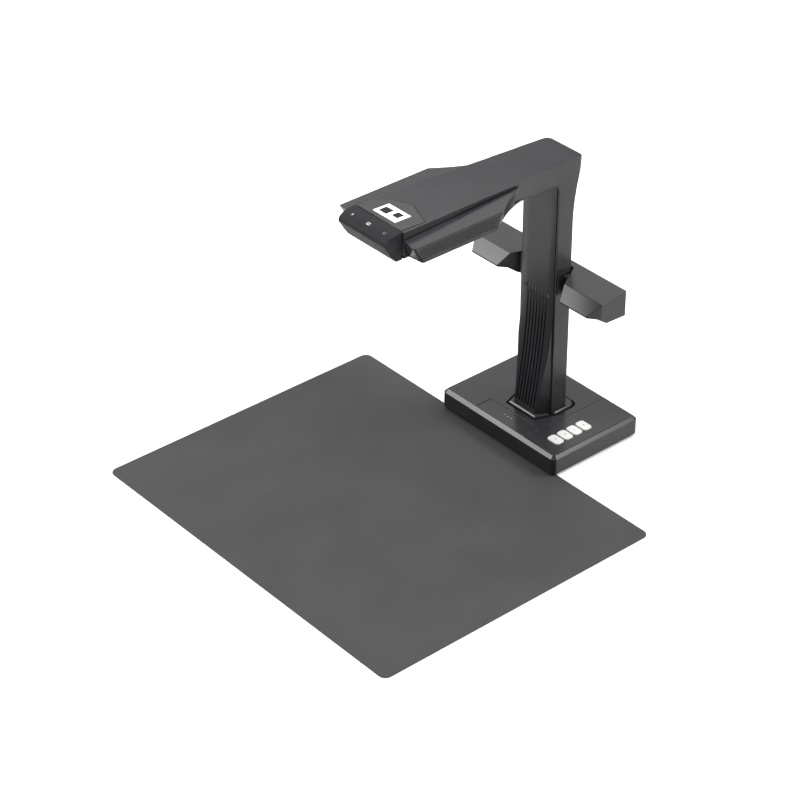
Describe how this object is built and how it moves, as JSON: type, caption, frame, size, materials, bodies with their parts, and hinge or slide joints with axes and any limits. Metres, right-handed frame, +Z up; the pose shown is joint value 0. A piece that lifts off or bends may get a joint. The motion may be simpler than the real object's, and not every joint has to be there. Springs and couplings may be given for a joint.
{
  "type": "overhead book scanner",
  "caption": "Overhead book scanner with a weighted base and keys, a flat column, a camera head with a display on a level arm, side lamps that toe in, and a dark page pad.",
  "frame": {"origin": "on the table, under the middle of the footprint of pad and scanner together", "axes": "+Z up; +Y to the back of the scanner, away from the reader, along the longest side; +X to the reader's right"},
  "size_m": [0.52, 0.546, 0.39],
  "materials": {
    "satin_black_shell": "satin moulded ABS",
    "deep_black_plastic": "fine-textured moulded plastic",
    "perforated_grille": "finely perforated plate, matt",
    "pad_surface": "matt, fine grain",
    "white_key": "semi-gloss",
    "white_diffuser": "frosted",
    "black_glass": "polished",
    "lit_screen": "lit display",
    "circuit_board": "solder mask",
    "steel": "plated",
    "aluminium": "mill",
    "rubber_foot": "matt"
  },
  "bodies": {
    "stand": {"base_cover": "satin_black_shell", "key_cover": "satin_black_shell", "base_plate": "deep_black_plastic", "ballast_plate": "steel", "base_screw_1": "steel", "base_screw_2": "steel", "base_screw_3": "steel", "base_screw_4": "steel", "foot_1": "rubber_foot", "foot_2": "rubber_foot", "foot_3": "rubber_foot", "foot_4": "rubber_foot", "key_board": "circuit_board", "main_board": "circuit_board", "power_jack": "deep_black_plastic", "usb_b_port": "steel", "hdmi_port": "steel", "usb_a_port": "steel", "rocker_frame": "deep_black_plastic", "stand_casing": "satin_black_shell", "display_glass": "black_glass", "lcd_module": "lit_screen", "column_front_panel": "satin_black_shell", "column_socket": "satin_black_shell", "column_spine": "steel", "arm_beam": "aluminium", "head_tray": "satin_black_shell", "wing_shell_right": "satin_black_shell", "wing_shell_left": "satin_black_shell", "wing_grille_right": "perforated_grille", "wing_grille_left": "perforated_grille", "nose_panel": "satin_black_shell", "touch_board": "circuit_board", "camera_barrel": "deep_black_plastic", "camera_lens": "black_glass", "camera_board": "circuit_board", "light_lens": "white_diffuser", "light_board": "circuit_board", "laser_window": "black_glass", "lamp_bracket_right": "deep_black_plastic", "lamp_pin_right": "steel", "lamp_bracket_left": "deep_black_plastic", "lamp_pin_left": "steel"},
    "key_1": {"key_1": "white_key"},
    "key_2": {"key_2": "white_key"},
    "key_3": {"key_3": "white_key"},
    "key_4": {"key_4": "white_key"},
    "power_rocker": {"power_rocker": "deep_black_plastic"},
    "lamp_right": {"lamp_shell_right": "satin_black_shell", "lamp_end_cap_right": "deep_black_plastic", "lamp_diffuser_right": "white_diffuser", "lamp_led_board_right": "circuit_board"},
    "lamp_left": {"lamp_shell_left": "satin_black_shell", "lamp_end_cap_left": "deep_black_plastic", "lamp_diffuser_left": "white_diffuser", "lamp_led_board_left": "circuit_board"},
    "pad": {"scan_pad": "pad_surface"}
  },
  "joints": [
    {"name": "key_1_press", "type": "slide", "parent": "stand", "child": "key_1", "axis": [0, 0, -1], "range_m": [0, 0.0008], "stiffness_N_per_m": 600},
    {"name": "key_2_press", "type": "slide", "parent": "stand", "child": "key_2", "axis": [0, 0, -1], "range_m": [0, 0.0008], "stiffness_N_per_m": 600},
    {"name": "key_3_press", "type": "slide", "parent": "stand", "child": "key_3", "axis": [0, 0, -1], "range_m": [0, 0.0008], "stiffness_N_per_m": 600},
    {"name": "key_4_press", "type": "slide", "parent": "stand", "child": "key_4", "axis": [0, 0, -1], "range_m": [0, 0.0008], "stiffness_N_per_m": 600},
    {"name": "power_rocker_tilt", "type": "hinge", "parent": "stand", "child": "power_rocker", "pos_m": [-0.078, 0.267, 0.0165], "axis": [0, 0, 1], "range_deg": [0, 14]},
    {"name": "lamp_right_swing", "type": "hinge", "parent": "stand", "child": "lamp_right", "pos_m": [0.038, 0.2065, 0.215], "axis": [0, 0, -1], "range_deg": [0, 25]},
    {"name": "lamp_left_swing", "type": "hinge", "parent": "stand", "child": "lamp_left", "pos_m": [-0.038, 0.2065, 0.215], "axis": [0, 0, 1], "range_deg": [0, 25]},
    {"name": "pad_slide", "type": "slide", "parent": "stand", "child": "pad", "axis": [0, -1, 0], "range_m": [0, 0.15]}
  ]
}
